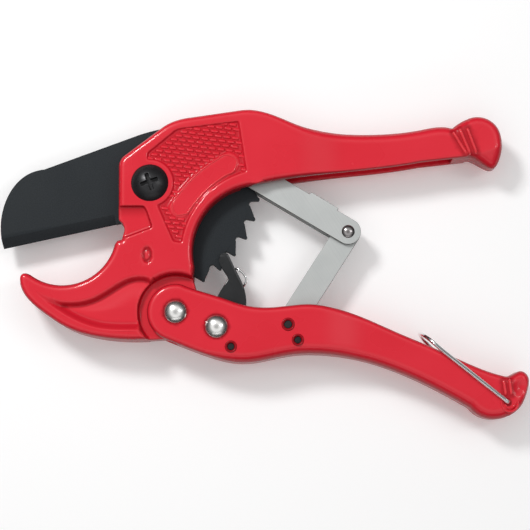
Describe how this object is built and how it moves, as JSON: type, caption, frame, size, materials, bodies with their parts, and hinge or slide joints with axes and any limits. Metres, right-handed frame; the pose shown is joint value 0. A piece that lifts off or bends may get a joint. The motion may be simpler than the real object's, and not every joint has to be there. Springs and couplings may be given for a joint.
{
  "type": "ratchet pipe cutter",
  "caption": "Hand ratchet cutter for plastic pipe: hook jaw, swinging blade with toothed sector, squeeze handle with pawl, folding links and wire locking bail.",
  "frame": {"origin": "axis of the pipe that the hook jaw seats, where it meets the plane that the tool lies on", "axes": "+X from the jaw to the handle ends, +Y from the squeeze handle to the fixed handle, +Z through the tool's thickness, parallel to the pipe and to every pivot"},
  "size_m": [0.2095, 0.1231, 0.0233],
  "materials": {
    "red_paint": "gloss red paint on cast aluminium",
    "blade_coat": "satin charcoal non-stick coat on hardened steel",
    "black_oxide": "black oxide screw, satin gloss",
    "nickel": "bright nickel plate",
    "link_steel": "satin zinc-plated sheet steel",
    "dark_steel": "dark phosphated steel",
    "wire_chrome": "bright drawn wire"
  },
  "bodies": {
    "root": {"body_casting": "red_paint", "blade_pivot_screw": "black_oxide", "blade_pivot_bush": "link_steel", "blade_pivot_nut": "dark_steel", "blade_pivot_washer": "dark_steel", "handle_pivot_bush": "link_steel"},
    "blade": {"blade": "blade_coat"},
    "lower_handle": {"lower_handle": "red_paint", "handle_pivot_rivet": "nickel", "handle_pivot_washer": "nickel", "pawl_rivet": "nickel", "pawl_rivet_washer": "nickel", "pawl_spacers": "dark_steel", "pawl_spring_pin": "dark_steel", "lower_link_pin": "dark_steel", "spring_stop_pin": "dark_steel"},
    "pawl": {"pawl": "dark_steel", "pawl_spring": "wire_chrome"},
    "lower_link": {"lower_link": "link_steel", "opening_spring": "wire_chrome", "link_washers": "dark_steel"},
    "upper_link": {"upper_link": "link_steel", "link_rivet": "nickel"},
    "bail": {"locking_bail": "wire_chrome"}
  },
  "joints": [
    {"name": "blade_swing", "type": "hinge", "parent": "root", "child": "blade", "pos_m": [0.0343, 0.0194, 0.01], "axis": [0, 0, 1], "range_deg": [-43, 31]},
    {"name": "handle_squeeze", "type": "hinge", "parent": "root", "child": "lower_handle", "pos_m": [0.0448, -0.0318, 0.01], "axis": [0, 0, 1], "range_deg": [0, 33], "stiffness_Nm_per_rad": 0.3, "springref_deg": -34.38},
    {"name": "pawl_turn", "type": "hinge", "parent": "lower_handle", "child": "pawl", "pos_m": [0.0609, -0.0376, 0.01], "axis": [0, 0, 1], "range_deg": [-46, 1]},
    {"name": "lower_link_turn", "type": "hinge", "parent": "lower_handle", "child": "lower_link", "pos_m": [0.089, -0.0368, 0.01], "axis": [0, 0, 1], "range_deg": [-50, 1]},
    {"name": "knee_turn", "type": "hinge", "parent": "lower_link", "child": "upper_link", "pos_m": [0.1131, 0.0008, 0.01], "axis": [0, 0, 1], "range_deg": [-1, 42]},
    {"name": "bail_swing", "type": "hinge", "parent": "lower_handle", "child": "bail", "pos_m": [0.1747, -0.0671, 0.01], "axis": [0, 0, 1], "range_deg": [-100, 0]}
  ],
  "couplings": [
    {"joint": "pawl_turn", "follows": "handle_squeeze", "ratio": -1.345},
    {"joint": "lower_link_turn", "follows": "handle_squeeze", "ratio": -1.48},
    {"joint": "knee_turn", "follows": "handle_squeeze", "ratio": 1.24}
  ]
}
